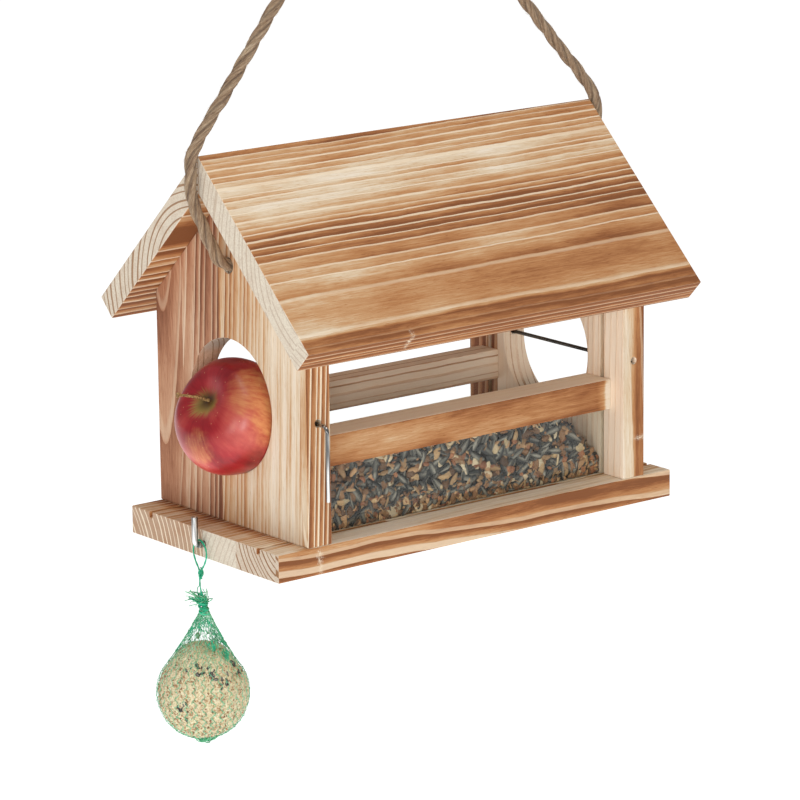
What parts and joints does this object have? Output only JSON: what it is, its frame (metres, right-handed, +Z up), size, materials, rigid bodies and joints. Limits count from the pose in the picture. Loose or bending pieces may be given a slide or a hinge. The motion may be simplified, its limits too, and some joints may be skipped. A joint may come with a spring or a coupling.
{
  "type": "hanging bird feeder",
  "caption": "House-shaped timber bird feeder on a rope, with a seed tray behind clear panes, apple skewers in the gables and a netted fat ball on a hook.",
  "frame": {"origin": "where the inside of the rope's bend bears on whatever the feeder hangs from", "axes": "+Z up, X along the ridge with the fat ball's hook at -X, and the seed windows facing -Y (front) and +Y"},
  "size_m": [0.361, 0.2186, 0.5654],
  "materials": {
    "pine": "flamed and brushed softwood, unvarnished",
    "clear_acrylic": "clear, slightly dusty",
    "beech": "fluted dowel",
    "zinc_steel": "zinc plated",
    "steel_rod": "bright nickel plated wire",
    "jute": "laid natural fibre rope",
    "seed_mix": "loose sunflower seed, peanuts and husk",
    "apple_skin": "waxy red and yellow apple skin",
    "apple_stalk": "dry stalk",
    "suet_and_seed": "pressed fat with seeds",
    "green_net": "knitted plastic net and string"
  },
  "bodies": {
    "house": {"floor_board": "pine", "gable_left": "pine", "gable_right": "pine", "roof_front": "pine", "roof_back": "pine", "rail_front": "pine", "rail_back": "pine", "pane_front": "clear_acrylic", "pane_back": "clear_acrylic", "roof_dowels": "beech", "rail_dowels": "beech", "floor_screws": "zinc_steel", "ball_hook": "steel_rod", "rope": "jute", "rope_knot_left": "jute", "rope_knot_right": "jute", "seed_fill": "seed_mix"},
    "left_skewer": {"skewer_left": "steel_rod"},
    "right_skewer": {"skewer_right": "steel_rod"},
    "apple_fruit": {"apple": "apple_skin", "apple_stem": "apple_stalk"},
    "string_loop": {"ball_string": "green_net", "string_knot": "green_net"},
    "netted_ball": {"fat_ball": "suet_and_seed", "ball_net": "green_net"}
  },
  "joints": [
    {"name": "skewer_left_slide", "type": "slide", "parent": "house", "child": "left_skewer", "axis": [0, -1, 0], "range_m": [-0.004, 0.165]},
    {"name": "skewer_right_slide", "type": "slide", "parent": "house", "child": "right_skewer", "axis": [0, 1, 0], "range_m": [-0.004, 0.165]},
    {"name": "apple_turn", "type": "hinge", "parent": "house", "child": "apple_fruit", "pos_m": [-0.118, 0, -0.345], "axis": [0, 1, 0], "range_deg": [-8, 40]},
    {"name": "string_swing", "type": "hinge", "parent": "house", "child": "string_loop", "pos_m": [-0.153, 0, -0.431], "axis": [1, 0, 0], "range_deg": [-40, 40]},
    {"name": "ball_swing", "type": "hinge", "parent": "string_loop", "child": "netted_ball", "pos_m": [-0.153, 0, -0.459], "axis": [0, 1, 0], "range_deg": [-35, 35]}
  ]
}
